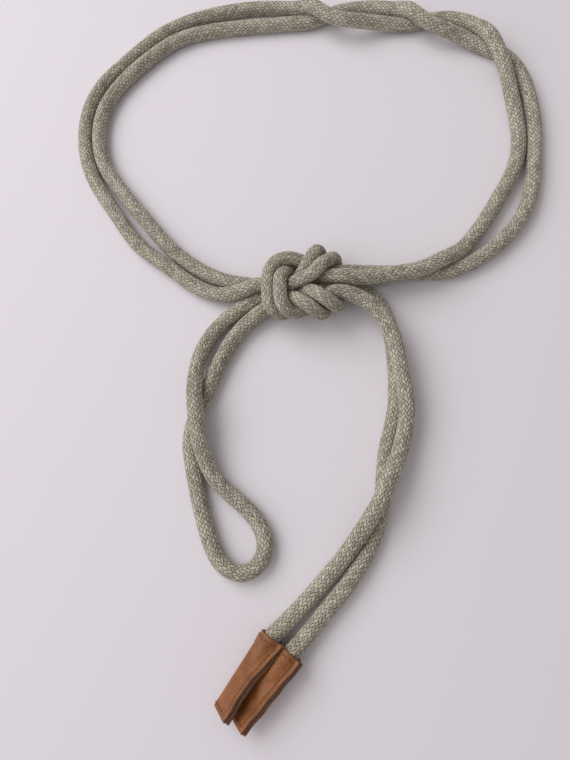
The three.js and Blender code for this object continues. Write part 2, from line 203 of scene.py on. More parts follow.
# The rope's route, x, y, z of its middle
FIRST_TAIL = [
    (0.004, -0.147, 0.0055), (0.014, -0.137, 0.005), (0.027, -0.122, 0.005), (0.040, -0.107, 0.0075),
    (0.049, -0.094, 0.0115), (0.060, -0.076, 0.015), (0.065, -0.062, 0.014), (0.072, -0.0435, 0.0105),
    (0.076, -0.0275, 0.012), (0.076, -0.014, 0.013), (0.0735, -0.0035, 0.0145),
    (0.0715, 0.0105, 0.0145), (0.0695, 0.0215, 0.015), (0.0675, 0.0305, 0.015), (0.0645, 0.036, 0.015),
    (0.0605, 0.0415, 0.015), (0.055, 0.0465, 0.015), (0.0485, 0.052, 0.015),
]
FIRST_COLLAR = [
    (0.0375, 0.053, 0.018), (0.027, 0.051, 0.015), (0.0175, 0.0445, 0.0125), (0.010, 0.041, 0.013),
    (0.0045, 0.043, 0.0165), (0.0015, 0.0475, 0.021), (0.000, 0.0545, 0.023), (0.0005, 0.0615, 0.019),
    (0.0035, 0.069, 0.0095), (0.011, 0.070, 0.0075), (0.0195, 0.0665, 0.012), (0.0285, 0.061, 0.018),
]
FIRST_WAIST = [
    (0.0375, 0.060, 0.021), (0.0455, 0.061, 0.0185), (0.056, 0.064, 0.016), (0.067, 0.0665, 0.015),
    (0.077, 0.0675, 0.015), (0.0865, 0.069, 0.015), (0.0955, 0.0725, 0.014), (0.105, 0.0775, 0.011),
    (0.1155, 0.0865, 0.006), (0.1295, 0.1045, 0.005), (0.141, 0.124, 0.005), (0.152, 0.143, 0.005),
    (0.158, 0.164, 0.005), (0.157, 0.188, 0.005), (0.154, 0.211, 0.007), (0.146, 0.236, 0.015),
    (0.134, 0.259, 0.010), (0.117, 0.273, 0.005), (0.098, 0.271, 0.005), (0.078, 0.269, 0.005),
    (0.058, 0.269, 0.009), (0.036, 0.267, 0.015), (0.014, 0.280, 0.009), (-0.013, 0.290, 0.005),
    (-0.047, 0.289, 0.005), (-0.075, 0.283, 0.005), (-0.099, 0.272, 0.005), (-0.122, 0.250, 0.005),
    (-0.142, 0.228, 0.005), (-0.151, 0.205, 0.005), (-0.151, 0.178, 0.005), (-0.142, 0.149, 0.005),
    (-0.123, 0.121, 0.005), (-0.103, 0.094, 0.005), (-0.082, 0.079, 0.005), (-0.061, 0.063, 0.005),
    (-0.044, 0.056, 0.0055), (-0.028, 0.058, 0.011),
]
FIRST_BIGHT = [
    (-0.018, 0.0605, 0.0135), (-0.0085, 0.061, 0.013), (-0.001, 0.0605, 0.014), (0.006, 0.059, 0.019),
    (0.013, 0.0585, 0.024), (0.019, 0.061, 0.0255), (0.025, 0.0655, 0.025), (0.029, 0.072, 0.020),
    (0.032, 0.076, 0.011), (0.0335, 0.0725, 0.0055), (0.0345, 0.0645, 0.005), (0.0355, 0.0565, 0.008),
    (0.035, 0.051, 0.016), (0.030, 0.049, 0.0225), (0.0225, 0.049, 0.026), (0.0135, 0.0525, 0.023),
    (0.004, 0.056, 0.016), (-0.0055, 0.058, 0.0105), (-0.0155, 0.056, 0.009),
]
TAIL_LOOP = [
    (-0.027, 0.050, 0.007), (-0.043, 0.037, 0.005), (-0.054, 0.021, 0.006),
    (-0.057, 0.002, 0.0095), (-0.055, -0.019, 0.015), (-0.052, -0.043, 0.0115),
    (-0.044, -0.063, 0.0065), (-0.029, -0.076, 0.005), (-0.014, -0.089, 0.005),
    (-0.008, -0.103, 0.005), (-0.012, -0.116, 0.005), (-0.024, -0.122, 0.005),
    (-0.037, -0.115, 0.005), (-0.044, -0.100, 0.005), (-0.051, -0.079, 0.005),
    (-0.056, -0.056, 0.005), (-0.059, -0.038, 0.005), (-0.055, -0.022, 0.005),
    (-0.049, -0.006, 0.005), (-0.042, 0.012, 0.005), (-0.033, 0.029, 0.005),
    (-0.022, 0.041, 0.006),
]
SECOND_BIGHT = [
    (-0.0135, 0.046, 0.009), (-0.0055, 0.0515, 0.012), (0.0025, 0.053, 0.0175),
    (0.0115, 0.047, 0.0235), (0.018, 0.045, 0.022), (0.022, 0.0455, 0.015), (0.022, 0.051, 0.0075),
    (0.023, 0.0595, 0.005), (0.023, 0.073, 0.005), (0.0235, 0.0825, 0.006), (0.0225, 0.086, 0.013),
    (0.019, 0.0785, 0.022), (0.0135, 0.070, 0.023), (0.008, 0.0665, 0.018), (0.001, 0.0645, 0.0095),
    (-0.0075, 0.0635, 0.005), (-0.017, 0.063, 0.005),
]
SECOND_WAIST = [
    (-0.026, 0.063, 0.005), (-0.039, 0.066, 0.005), (-0.057, 0.074, 0.005), (-0.080, 0.091, 0.005),
    (-0.099, 0.113, 0.005), (-0.119, 0.137, 0.005), (-0.135, 0.159, 0.005), (-0.141, 0.183, 0.005),
    (-0.139, 0.208, 0.005), (-0.127, 0.229, 0.005), (-0.106, 0.251, 0.005), (-0.086, 0.266, 0.005),
    (-0.060, 0.272, 0.005), (-0.032, 0.274, 0.005), (-0.005, 0.275, 0.005), (0.019, 0.278, 0.005),
    (0.039, 0.285, 0.005), (0.060, 0.285, 0.0055), (0.080, 0.277, 0.0095), (0.099, 0.260, 0.015),
    (0.119, 0.255, 0.0085), (0.140, 0.246, 0.005), (0.154, 0.238, 0.005), (0.163, 0.223, 0.005),
    (0.168, 0.199, 0.005), (0.169, 0.176, 0.005), (0.167, 0.154, 0.005), (0.164, 0.131, 0.005),
    (0.1565, 0.111, 0.005), (0.1405, 0.0915, 0.005), (0.1245, 0.0795, 0.005), (0.1085, 0.073, 0.005),
    (0.0955, 0.0715, 0.005), (0.0835, 0.0715, 0.005), (0.0665, 0.0715, 0.005), (0.050, 0.071, 0.007),
]
SECOND_COLLAR = [
    (0.039, 0.0695, 0.012), (0.0295, 0.070, 0.014), (0.0205, 0.070, 0.013), (0.0115, 0.069, 0.014),
    (0.0035, 0.066, 0.0175), (-0.004, 0.0625, 0.019), (-0.0095, 0.058, 0.0195),
    (-0.0105, 0.0535, 0.0195), (-0.010, 0.047, 0.0175), (-0.006, 0.0435, 0.0125),
    (0.002, 0.0425, 0.0095), (0.0115, 0.047, 0.0105), (0.0195, 0.0515, 0.0135),
    (0.0285, 0.0575, 0.0135), (0.0375, 0.060, 0.013),
]
SECOND_TAIL = [
    (0.0455, 0.061, 0.0085), (0.0515, 0.060, 0.0055), (0.057, 0.056, 0.005), (0.0605, 0.052, 0.005),
    (0.063, 0.0465, 0.005), (0.066, 0.0405, 0.005), (0.0675, 0.034, 0.005), (0.0695, 0.0245, 0.005),
    (0.070, 0.013, 0.005), (0.071, -0.0015, 0.005), (0.071, -0.012, 0.005), (0.070, -0.025, 0.005),
    (0.066, -0.037, 0.005), (0.063, -0.056, 0.005), (0.061, -0.076, 0.005), (0.057, -0.093, 0.005),
    (0.048, -0.112, 0.005), (0.036, -0.130, 0.005), (0.025, -0.142, 0.005), (0.016, -0.154, 0.0055),
]

STRETCHES = [
    ("first_tail", FIRST_TAIL, False),
    ("first_collar", FIRST_COLLAR, True),
    ("first_waist", FIRST_WAIST, False),
    ("first_bight", FIRST_BIGHT, True),
    ("tail_loop", TAIL_LOOP, False),
    ("second_bight", SECOND_BIGHT, True),
    ("second_waist", SECOND_WAIST, False),
    ("second_collar", SECOND_COLLAR, True),
    ("second_tail", SECOND_TAIL, False),
]

# Each visible length of rope, and the stretches that it covers
ROPE_LENGTHS = [
    ("rope_first_end", ("first_tail", "first_collar")),
    ("rope_first_round", ("first_waist",)),
    ("rope_fold", ("first_bight", "tail_loop", "second_bight")),
    ("rope_second_round", ("second_waist",)),
    ("rope_second_end", ("second_collar", "second_tail")),
]


# Objects


def place_mesh(name, bm, finishes):
    """Ends the work on a mesh and puts it in the scene as an object with its finishes."""
    mesh = bpy.data.meshes.new(name)
    bm.to_mesh(mesh)
    bm.free()
    made = bpy.data.objects.new(name, mesh)
    bpy.context.scene.collection.objects.link(made)
    for finish in finishes:
        mesh.materials.append(finish)
    return made


# Camera and light


def look_from_photograph(offset):
    """The camera where the photograph was taken from."""
    data = bpy.data.cameras.new("photograph_view")
    data.sensor_fit = "HORIZONTAL"
    data.sensor_width = SENSOR_WIDTH
    data.lens = SENSOR_WIDTH * FOCAL_SHARE
    data.clip_start, data.clip_end = VIEW_RANGE
    camera = bpy.data.objects.new("photograph_view", data)
    bpy.context.scene.collection.objects.link(camera)
    right = Vector(CAMERA_RIGHT).normalized()
    up = Vector(CAMERA_UP)
    up = (up - up.project(right)).normalized()
    back = right.cross(up)
    turn = Matrix((right, up, back)).transposed().to_4x4()
    camera.matrix_world = Matrix.Translation(Vector(CAMERA_AT) + offset) @ turn
    bpy.context.scene.camera = camera


def area_light(name, lamp):
    """A round light that points at the middle of the belt."""
    data = bpy.data.lights.new(name, "AREA")
    data.shape = "DISK"
    data.size = lamp["size"]
    data.energy = lamp["power"]
    data.color = lamp["colour"]
    light = bpy.data.objects.new(name, data)
    bpy.context.scene.collection.objects.link(light)
    light.location = lamp["at"]
    light.rotation_euler = (-Vector(lamp["at"])).to_track_quat("-Z", "Y").to_euler()


def light_studio():
    """A window's light from the far left, the room's from the near left, and a pale world."""
    area_light("window_light", WINDOW_LIGHT)
    area_light("room_light", ROOM_LIGHT)
    world = bpy.data.worlds.new("pale_room")
    world.use_nodes = True
    background = world.node_tree.nodes["Background"]
    background.inputs["Color"].default_value = WORLD_COLOUR
    background.inputs["Strength"].default_value = WORLD_STRENGTH
    bpy.context.scene.world = world
    bpy.context.scene.view_settings.view_transform = "Standard"


def lay_floor():
    """The pale surface under the belt."""
    paint, _, shader = new_material("pale_floor")
    shader.inputs["Base Color"].default_value = FLOOR_COLOUR
    shader.inputs["Roughness"].default_value = FLOOR_ROUGHNESS
    bm = bmesh.new()
    bmesh.ops.create_grid(bm, x_segments=1, y_segments=1, size=FLOOR_SIZE)
    floor = place_mesh("floor", bm, (paint,))


# The rope's route


def lean_vectors(end):
    """Where a leather end heads, and the level direction to the left of that."""
    heading = math.radians(end["heading"])
    return (
        np.array([math.cos(heading), math.sin(heading), 0.0]),
        np.array([-math.sin(heading), math.cos(heading), 0.0]),
    )


def rope_inside(end):
    """The straight rope in a leather end, from its cut end to the mouth."""
    mouth = np.array([end["x"], end["y"], BULGE_RADIUS - FLOOR_PRESS])
    heading, _ = lean_vectors(end)
    return [mouth + heading * reach for reach in (ROPE_IN_LEATHER, ROPE_IN_LEATHER / 2, 0.0)]


def smooth_curve(points, per_span):
    """Points along one centripetal Catmull-Rom curve."""
    p = np.array(points, dtype=float)
    p = np.vstack([2 * p[0] - p[1], p, 2 * p[-1] - p[-2]])
    steps = np.sqrt(np.linalg.norm(np.diff(p, axis=0), axis=1))[:, None]
    before, inside, after = steps[:-2], steps[1:-1], steps[2:]
    a, b, c, d = p[:-3], p[1:-2], p[2:-1], p[3:]
    leave = ((b - a) / before - (c - a) / (before + inside) + (c - b) / inside) * inside
    arrive = ((c - b) / inside - (d - b) / (inside + after) + (d - c) / after) * inside
    t = (np.arange(per_span) / per_span)[None, :, None]
    leave, arrive, b, c = (v[:, None, :] for v in (leave, arrive, b, c))
    bend = b + leave * t + (3 * (c - b) - 2 * leave - arrive) * t**2
    bend = bend + (2 * (b - c) + leave + arrive) * t**3
    return np.vstack([bend.reshape(-1, 3), p[-2]])


def lengths_along(points):
    """How far along a line of points each of them lies."""
    return np.concatenate([[0.0], np.cumsum(np.linalg.norm(np.diff(points, axis=0), axis=1))])


def evenly(points, count):
    """The same curve as count points at equal distances."""
    along = lengths_along(points)
    wanted = np.linspace(0, along[-1], count)
    return np.stack([np.interp(wanted, along, points[:, axis]) for axis in range(3)], axis=1)


def lay_route():
    """The rope's beads on its route, their diameters, and the share where each stretch starts."""
    points = rope_inside(FIRST_END)
    firsts = []
    for _, stretch, _ in STRETCHES:
        firsts.append(len(points) if firsts else 0)
        points.extend(stretch)
    points.extend(reversed(rope_inside(SECOND_END)))
    curve = smooth_curve(points, ROUTE_STEPS)
    along = lengths_along(curve)
    starts = [along[first * ROUTE_STEPS] / along[-1] for first in firsts] + [1.0]
    count = round(along[-1] / BEAD_SPACING) + 1
    beads = evenly(curve, count)
    shares = np.arange(count) / (count - 1)
    stretch_of = np.searchsorted(starts, shares + 1e-9, side="right") - 1
    tight = np.array([row[2] for row in STRETCHES] + [False])[stretch_of]
    return beads, np.where(tight, KNOT_ROPE_DIAMETER, ROPE_DIAMETER), starts


def nearby_pairs(beads, skip, reach):
    """Beads closer than reach to each other, other than neighbours on the rope."""
    first, second = [], []
    for i in range(len(beads) - skip):
        far = np.linalg.norm(beads[i + skip :] - beads[i], axis=1)
        found = np.nonzero(far < reach)[0] + i + skip
        first.append(np.full(len(found), i))
        second.append(found)
    return np.concatenate(first), np.concatenate(second)


def settle(beads, diameters):
    """Pushes the beads apart to one diameter, on the floor, with the rope's bends kept smooth."""
    beads = beads.copy()
    home = beads.copy()
    spacing = np.linalg.norm(np.diff(beads, axis=0), axis=1).mean()
    skip = math.ceil(math.pi * ROPE_DIAMETER / 2 / spacing) + 1
    held = math.ceil(ROPE_IN_LEATHER / spacing) + 1
    free = np.ones((len(beads), 1))
    free[:held] = free[-held:] = 0
    for turn in range(SETTLE_ROUNDS):
        calm = turn >= SETTLE_ROUNDS - CALM_ROUNDS
        middle = np.zeros_like(beads)
        middle[1:-1] = (beads[:-2] + beads[2:]) / 2 - beads[1:-1]
        pull = (home - beads) * (0 if calm else ROUTE_PULL)
        beads = beads + (pull + middle * (CALM_BEND_PULL if calm else BEND_PULL)) * free
        if turn % SEARCH_EVERY == 0:
            i, j = nearby_pairs(beads, skip, SEARCH_REACH * ROPE_DIAMETER)
            apart = (diameters[i] + diameters[j]) / 2 + STRAND_GAP
        for _ in range(PUSH_PASSES):
            between = beads[i] - beads[j]
            far = np.linalg.norm(between, axis=1)
            near = far < apart
            push = between[near] * ((apart - far) / far / 2)[near, None]
            total = np.zeros((len(beads), 4))
            np.add.at(total, i[near], np.column_stack([push, np.ones(len(push))]))
            np.add.at(total, j[near], np.column_stack([-push, np.ones(len(push))]))
            move = total[:, :3] / np.maximum(total[:, 3:], 1)
            beads = beads + move * PUSH_STRENGTH * free
            beads[:, 2] = np.maximum(beads[:, 2], diameters / 2)
        between = np.diff(beads, axis=0)
        far = np.linalg.norm(between, axis=1)[:, None]
        slide = between * (far - spacing) / far * SPACING_PULL
        move = np.zeros_like(beads)
        move[:-1] += slide
        move[1:] -= slide
        beads = beads + move * free
    return beads


# The rope's surface


def along_frames(middle):
    """Tangents and untwisted side directions along a line of points."""
    tangents = np.gradient(middle, axis=0)
    tangents /= np.linalg.norm(tangents, axis=1)[:, None]
    side = np.zeros_like(middle)
    side[0] = np.cross(tangents[0], [0, 0, 1])
    side[0] /= np.linalg.norm(side[0])
    for k in range(len(middle) - 1):
        step = middle[k + 1] - middle[k]
        size = step @ step
        mirrored = side[k] - 2 / size * (step @ side[k]) * step
        turned = tangents[k] - 2 / size * (step @ tangents[k]) * step
        rest = tangents[k + 1] - turned
        size = rest @ rest
        if size > 1e-18:
            mirrored = mirrored - 2 / size * (rest @ mirrored) * rest
        side[k + 1] = mirrored / np.linalg.norm(mirrored)
    return tangents, side, np.cross(tangents, side)


def press_neighbours(middle, radii, skin):
    """Where two strands meet, both skins give way by half of what they share."""
    skip = math.ceil(math.pi * ROPE_DIAMETER / 2 / (BRAID_PITCH / RINGS_PER_PITCH)) + 2
    index = np.arange(len(middle))
    pressed = skin.copy()
    for k in range(len(middle)):
        far = np.linalg.norm(middle - middle[k], axis=1)
        near = np.nonzero((far < PRESS_REACH * radii[k]) & (abs(index - k) > skip))[0]
        if len(near) == 0:
            continue
        between = skin[k][:, None, :] - middle[near][None, :, :]
        far = np.linalg.norm(between, axis=2)
        closest = far.argmin(axis=1)
        rows = np.arange(len(closest))
        far = far[rows, closest]
        shared = np.maximum(radii[near][closest] - far, 0)
        pressed[k] += between[rows, closest] / far[:, None] * (shared / 2)[:, None]
    return pressed


def stitch_relief(along, column):
    """Height of the braid's stitches, 0 on top of a stitch and -1 between stitches."""
    whole = np.floor(column)
    odd = np.mod(whole, 2)
    across = column - whole
    phase = along - (1 - 2 * odd) * STITCH_RISE * (across - 0.5) + COLUMN_SHIFT * odd
    phase = phase - np.floor(phase)
    sides = CROWN_AT_SIDES + CROWN_IN_MIDDLE * np.sin(math.pi * across) ** CROWN_BLUNTNESS_ACROSS
    crown = np.sin(math.pi * phase) ** CROWN_BLUNTNESS * sides
    plies = CROWN_BETWEEN_PLIES + CROWN_ON_PLIES * np.abs(np.sin(2 * math.pi * phase))
    return crown * plies - 1


def braid_rope(beads, diameters):
    """The whole rope as rings of points, with the braid's coordinates."""
    fine = smooth_curve(beads, MIDDLE_STEPS)
    along = lengths_along(fine)
    count = int(along[-1] / (BRAID_PITCH / RINGS_PER_PITCH)) + 1
    middle = evenly(fine, count)
    bead_share = np.interp(
        np.linspace(0, along[-1], count), along, np.linspace(0, 1, len(fine))
    )
    soften = int(SQUEEZE_LENGTH / (along[-1] / (count - 1))) | 1
    wide = np.interp(bead_share, np.linspace(0, 1, len(diameters)), diameters)
    wide = np.convolve(np.pad(wide, soften // 2, mode="edge"), np.ones(soften) / soften, "valid")
    radii = wide / 2 * ROPE_FULLNESS
    tangents, side, up = along_frames(middle)
    run = np.arange(count) / RINGS_PER_PITCH
    gone = run * BRAID_PITCH / WANDER_LENGTH
    second = SECOND_WANDER["share"] * np.sin(gone * SECOND_WANDER["turns"] + SECOND_WANDER["start"])
    wander = BRAID_WANDER * (np.sin(gone * 2 * math.pi) + second)
    sides = BRAID_COLUMNS * SIDES_PER_COLUMN
    column = np.arange(sides) / SIDES_PER_COLUMN
    angle = column[None, :] / BRAID_COLUMNS * 2 * math.pi + wander[:, None]
    outward = np.cos(angle)[:, :, None] * side[:, None, :] + np.sin(angle)[:, :, None] * up[:, None, :]
    skin = middle[:, None, :] + outward * radii[:, None, None]
    skin = press_neighbours(middle, radii, skin)
    relief = stitch_relief(run[:, None] + RELIEF_PHASE, column[None, :])
    skin = skin + outward * (relief * STITCH_DEPTH)[:, :, None]
    skin[:, :, 2] = np.maximum(skin[:, :, 2], ROPE_LIFT)
    return middle, skin, run, bead_share


def rope_length(name, skin, run, paint):
    """One length of the rope: a grid rolled up into a tube, with its ends closed."""
    rings, sides = skin.shape[:2]
    bm = bmesh.new()
    bmesh.ops.create_grid(bm, x_segments=rings - 1, y_segments=sides, size=0.5, calc_uvs=False)
    bm.verts.ensure_lookup_table()
    place = np.array([v.co for v in bm.verts])
    ring = np.rint((place[:, 0] + 0.5) * (rings - 1)).astype(int)
    side = np.rint((place[:, 1] + 0.5) * sides).astype(int)
    braid = bm.loops.layers.uv.new("braid")
    for face in bm.faces:
        for loop in face.loops:
            k = loop.vert.index
            loop[braid].uv = (run[ring[k]], side[k] / SIDES_PER_COLUMN)
    rolled = skin[ring, side % sides]
    for vert, point in zip(bm.verts, rolled):
        vert.co = point
    bmesh.ops.remove_doubles(bm, verts=bm.verts[:], dist=1e-7)
    ends = bmesh.ops.holes_fill(bm, edges=[e for e in bm.edges if e.is_boundary], sides=0)
    bmesh.ops.recalc_face_normals(bm, faces=bm.faces[:])
    for face in bm.faces:
        face.smooth = True
    for face in ends["faces"]:
        face.smooth = False
    return place_mesh(name, bm, (paint,))


# The leather ends


def bulge_share(along):
    """How much of the rope's bulge is left at a share of the leather's length."""
    return np.interp(along, *zip(*BULGE_SHARES))


def section_profile(radius, width, wall, count):
    """Half of a section, from the fold over the bulge to the stitched edge, as count points.

    The first number runs from the fold, the second is half the thickness there."""
    edge = width - SEAM_MARGIN
    reach = math.hypot(edge - radius, wall)
    tangent = math.atan2(wall, edge - radius) + math.acos(min(1, radius / reach))
    angles = np.linspace(math.pi, tangent, BULGE_ARC_POINTS)
    arc = np.column_stack([radius + radius * np.cos(angles), radius * np.sin(angles)])
    profile = np.vstack([arc, [edge, wall], [width, wall]])
    far = lengths_along(profile)
    wanted = np.linspace(0, far[-1], count)
    return np.column_stack([np.interp(wanted, far, profile[:, k]) for k in range(2)])


def edge_wave(along, seed):
    """How the stitched edge strays from a straight line, in metres."""
    return sum(height * np.sin(along * turn + share * seed) for height, turn, share in EDGE_WAVES)


def leather_skin(end, offset, seed):
    """The outer side of a leather end as rows of points, from one stitched edge round the fold
    to the other, from the mouth to the foot."""
    heading, level = lean_vectors(end)
    mouth = np.array([end["x"], end["y"], 0]) + np.array(offset)
    rows = []
    for along in np.linspace(0, 1, LEATHER_STEPS + 1):
        wall = SHEET_THICKNESS * (1 + SEAM_SPREAD * along)
        radius = wall + (BULGE_RADIUS - wall) * bulge_share(along)
        width = MOUTH_WIDTH + (FOOT_WIDTH - MOUTH_WIDTH) * along + edge_wave(along, seed)
        lean = math.radians(np.interp(along, *zip(*end["leans"])))
        across = level * math.cos(lean) + np.array([0, 0, math.sin(lean)])
        through = -level * math.sin(lean) + np.array([0, 0, math.cos(lean)])
        middle = mouth + heading * along * end["length"] + level * (radius - BULGE_RADIUS)
        middle[2] = radius - FLOOR_PRESS
        half = section_profile(radius, width, wall, LEATHER_STEPS_ROUND + 1)
        top = middle + np.outer(half[:, 0] - radius, across) + np.outer(half[:, 1], through)
        low = middle + np.outer(half[:, 0] - radius, across) - np.outer(half[:, 1], through)
        rows.append(np.vstack([low[:0:-1], top]))
    return np.array(rows)


def skin_normals(skin):
    """Outward directions of a leather end's rows of points."""
    down = np.gradient(skin, axis=0)
    around = np.gradient(skin, axis=1)
    out = np.cross(around, down)
    return out / np.linalg.norm(out, axis=2)[:, :, None]


def on_skin(grid, along, across):
    """The grid's value at along (0 to 1 from the mouth) and across (-1 to 1, 0 on the fold)."""
    i = np.clip(along, 0, 1) * (grid.shape[0] - 1)
    j = (np.clip(across, -1, 1) + 1) / 2 * (grid.shape[1] - 1)
    i0 = int(min(i, grid.shape[0] - 2))
    j0 = int(min(j, grid.shape[1] - 2))
    u, v = i - i0, j - j0
    top = grid[i0, j0] * (1 - v) + grid[i0, j0 + 1] * v
    low = grid[i0 + 1, j0] * (1 - v) + grid[i0 + 1, j0 + 1] * v
    return top * (1 - u) + low * u


def stitch_lines():
    """The seams as lists of (along, across), on the upper layer; the lower has the same."""
    inset_along = STITCH_INSET / LEATHER_LENGTH
    inset_across = STITCH_INSET / SEAM_TO_FOLD
    seam, fold = 1 - inset_across, inset_across * FOLD_SEAM
    mouth, foot = inset_along * MOUTH_SEAM, 1 - inset_along
    return [
        [(mouth, seam), (foot, seam)],
        [(foot, seam), (foot, fold)],
        [(mouth, seam), (mouth, fold)],
        [(mouth, fold), (inset_along * FOLD_SEAM_END, fold)],
    ]


def groove_depths(rows, columns):
    """How deep the thread pulls the leather in, on the grid of a leather end."""
    along = np.linspace(0, 1, rows)[:, None]
    across = np.abs(np.linspace(-1, 1, columns))[None, :]
    depth = np.zeros((rows, columns))
    for (a0, b0), (a1, b1) in stitch_lines():
        d = np.array([(a1 - a0) * LEATHER_LENGTH, (b1 - b0) * SEAM_TO_FOLD])
        x = (along - a0) * LEATHER_LENGTH
        y = (across - b0) * SEAM_TO_FOLD
        t = np.clip((x * d[0] + y * d[1]) / (d @ d), 0, 1)
        far = np.hypot(x - t * d[0], y - t * d[1])
        depth = np.maximum(depth, np.exp(-((far / GROOVE_WIDTH) ** 2)))
    return depth * GROOVE_DEPTH


def leather_sleeve(name, skin, finishes):
    """A leather strip folded round the rope: a sheet given its thickness, with rounded edges."""
    rows, columns = skin.shape[:2]
    bm = bmesh.new()
    bmesh.ops.create_grid(bm, x_segments=rows - 1, y_segments=columns - 1, size=0.5)
    place = np.array([v.co for v in bm.verts])
    row = np.rint((place[:, 0] + 0.5) * (rows - 1)).astype(int)
    column = np.rint((place[:, 1] + 0.5) * (columns - 1)).astype(int)
    rim = bm.verts.layers.int.new("rim")
    for vert, i, j in zip(bm.verts, row, column):
        vert.co = skin[i, j]
        vert[rim] = int(i in (0, rows - 1) or j in (0, columns - 1))
    bm.verts.index_update()
    bm.normal_update()
    out = skin_normals(skin)
    middle = bm.faces[:][len(bm.faces) // 2]
    k = middle.verts[0].index
    if middle.normal.dot(Vector(out[row[k], column[k]])) < 0:
        bmesh.ops.reverse_faces(bm, faces=bm.faces[:])
    bmesh.ops.solidify(bm, geom=bm.faces[:], thickness=SHEET_PARTING - SHEET_THICKNESS)
    edge_faces = [f for f in bm.faces if all(v[rim] for v in f.verts)]
    for face in edge_faces:
        face.material_index = 1
    raw = set(edge_faces)
    sharp = [e for e in bm.edges if sum(f in raw for f in e.link_faces) == 1]
    bmesh.ops.bevel(
        bm, geom=sharp, offset=EDGE_ROUNDING, segments=2, profile=0.5, affect="EDGES", material=-1
    )
    for vert in bm.verts:
        vert.co.z = max(vert.co.z, LEATHER_LIFT)
    bmesh.ops.recalc_face_normals(bm, faces=bm.faces[:])
    for face in bm.faces:
        face.smooth = True
    return place_mesh(name, bm, finishes)


def stitching(name, skin, paint):
    """The thread's stitches along the seams, on both sides of a leather end."""
    out = skin_normals(skin)
    bm = bmesh.new()
    for side in (1, -1):
        for (a0, b0), (a1, b1) in stitch_lines():
            run = math.hypot((a1 - a0) * LEATHER_LENGTH, (b1 - b0) * SEAM_TO_FOLD)
            count = max(2, round(run / STITCH_PITCH))
            for k in range(count):
                half = STITCH_LENGTH / 2 / run
                mid = (k + 0.5) / count
                ends = []
                for t in (mid - half, mid, mid + half):
                    a, b = a0 + (a1 - a0) * t, (b0 + (b1 - b0) * t) * side
                    rise = THREAD_RADIUS * (THREAD_RISE if t == mid else THREAD_DIP)
                    ends.append(on_skin(skin, a, b) + on_skin(out, a, b) * rise)
                one_stitch(bm, ends)
    for vert in bm.verts:
        vert.co.z = max(vert.co.z, THREAD_LIFT)
    return place_mesh(name, bm, (paint,))


def one_stitch(bm, ends):
    """A short thread that rises out of one hole and dives into the next."""
    start, crest, stop = (Vector(p) for p in ends)
    run = (stop - start).normalized()
    turn = run.to_track_quat("Z", "X").to_matrix().to_4x4()
    made = bmesh.ops.create_circle(
        bm,
        cap_ends=True,
        segments=THREAD_SIDES,
        radius=THREAD_RADIUS * THREAD_START,
        matrix=Matrix.Translation(start) @ turn,
    )
    ring = [e for e in bm.edges if e.verts[0] in made["verts"] and e.verts[1] in made["verts"]]
    for t in THREAD_RINGS:
        grown = bmesh.ops.extrude_edge_only(bm, edges=ring)["geom"]
        verts = [g for g in grown if isinstance(g, bmesh.types.BMVert)]
        ring = [g for g in grown if isinstance(g, bmesh.types.BMEdge)]
        ring = [e for e in ring if e.verts[0] in verts and e.verts[1] in verts]
        centre = start.lerp(stop, t) + (crest - start.lerp(stop, 0.5)) * (1 - (2 * t - 1) ** 2)
        before = sum((v.co for v in verts), Vector()) / len(verts)
        swell = 1.0 + THREAD_SWELL * (1 - abs(2 * t - 1)) if t < 1 else THREAD_STOP
        for v in verts:
            v.co = centre + (v.co - before) * swell
    bmesh.ops.contextual_create(bm, geom=ring)


# Finishes


def new_material(name):
    """A material with its node tree and its shader."""
    paint = bpy.data.materials.new(name)
    paint.use_nodes = True
    tree = paint.node_tree
    shader = tree.nodes["Principled BSDF"]
    return paint, tree, shader


def feed(tree, socket, value):
    """Gives an input its value, or links it to the output that is given."""
    if isinstance(value, bpy.types.NodeSocket):
        tree.links.new(value, socket)
    else:
        socket.default_value = value


def node(tree, kind, **inputs):
    """A shader node, with its settings given as set_ and their name, and its inputs fed by name,
    or by place as i and a number."""
    made = tree.nodes.new(kind)
    settings = [key for key in inputs if key.startswith("set_")]
    for key in settings:
        setattr(made, key[4:], inputs.pop(key))
    for key, value in inputs.items():
        feed(tree, made.inputs[int(key[1:]) if key[1:].isdigit() else key], value)
    return made


def maths(tree, operation, *values):
    """The output of a maths node that is fed these values."""
    made = tree.nodes.new("ShaderNodeMath")
    made.operation = operation
    for socket, value in zip(made.inputs, values):
        feed(tree, socket, value)
    return made.outputs[0]


def mix_colour(tree, share, first, second):
    """A colour between two, by a share."""
    mix = node(tree, "ShaderNodeMix", set_data_type="RGBA", i0=share, i6=first, i7=second)
    return mix.outputs[2]


def tone_ramp(tree, tone, tones):
    """The colour at a tone, between colours that are each given with their place."""
    ramp = node(tree, "ShaderNodeValToRGB", Fac=tone)
    bar = ramp.color_ramp
    bar.elements[0].position, bar.elements[0].color = tones[0]
    bar.elements[1].position, bar.elements[1].color = tones[-1]
    for place, colour in tones[1:-1]:
        bar.elements.new(place).color = colour
    return ramp.outputs[0]


